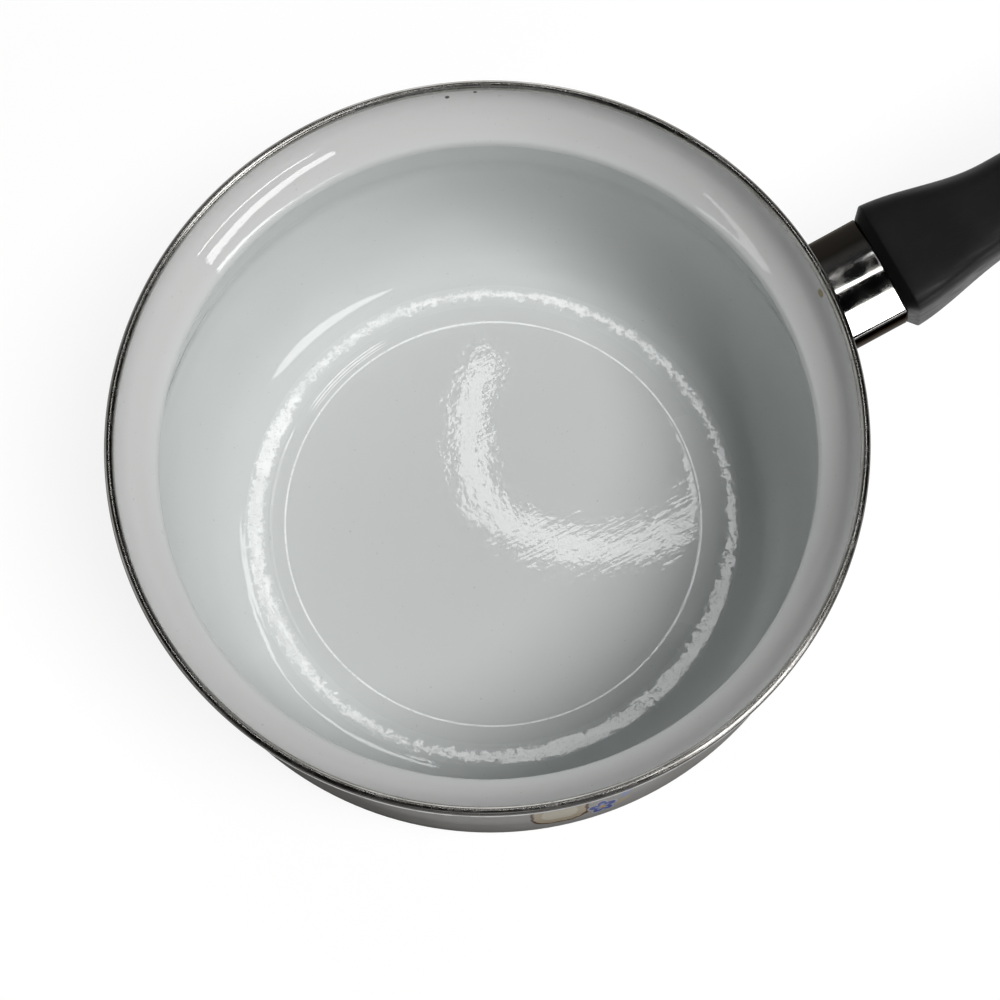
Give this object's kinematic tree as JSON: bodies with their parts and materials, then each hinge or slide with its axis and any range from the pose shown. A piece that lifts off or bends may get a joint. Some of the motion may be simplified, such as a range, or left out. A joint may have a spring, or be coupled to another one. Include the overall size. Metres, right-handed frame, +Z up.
{
  "type": "saucepan",
  "caption": "Enamelled steel saucepan with a flared lid-seat collar, stainless rim band, chromed ferrule, moulded black grip on a tie bolt and a swinging wire hanging loop.",
  "frame": {"origin": "centre of the flat underside of the base, on the table", "axes": "+X out along the handle as seen from above, +Y to its left, +Z up along the pan's axis"},
  "size_m": [0.3612, 0.2, 0.1056],
  "materials": {
    "white_enamel": "glossy vitreous enamel, worn in a ring around the floor",
    "stainless_band": "polished stainless strip with mottled tarnish",
    "bracket_enamel": "glossy vitreous enamel",
    "plated_fastener": "zinc-plated steel",
    "chromed_ferrule": "mirror chrome with fine scratches",
    "black_phenolic": "satin moulded phenolic",
    "loop_wire": "bright nickel-plated wire"
  },
  "bodies": {
    "pan": {"pan_body": "white_enamel", "rim_band": "stainless_band", "handle_bracket": "bracket_enamel", "bracket_nut": "plated_fastener", "ferrule": "chromed_ferrule", "grip": "black_phenolic", "tie_bolt": "plated_fastener", "bolt_washer": "plated_fastener"},
    "loop": {"hanging_loop": "loop_wire"}
  },
  "joints": [
    {"name": "loop_swing", "type": "hinge", "parent": "pan", "child": "loop", "pos_m": [0.25165, 0, 0.09674], "axis": [0, 1, 0], "range_deg": [-257, 53]}
  ]
}
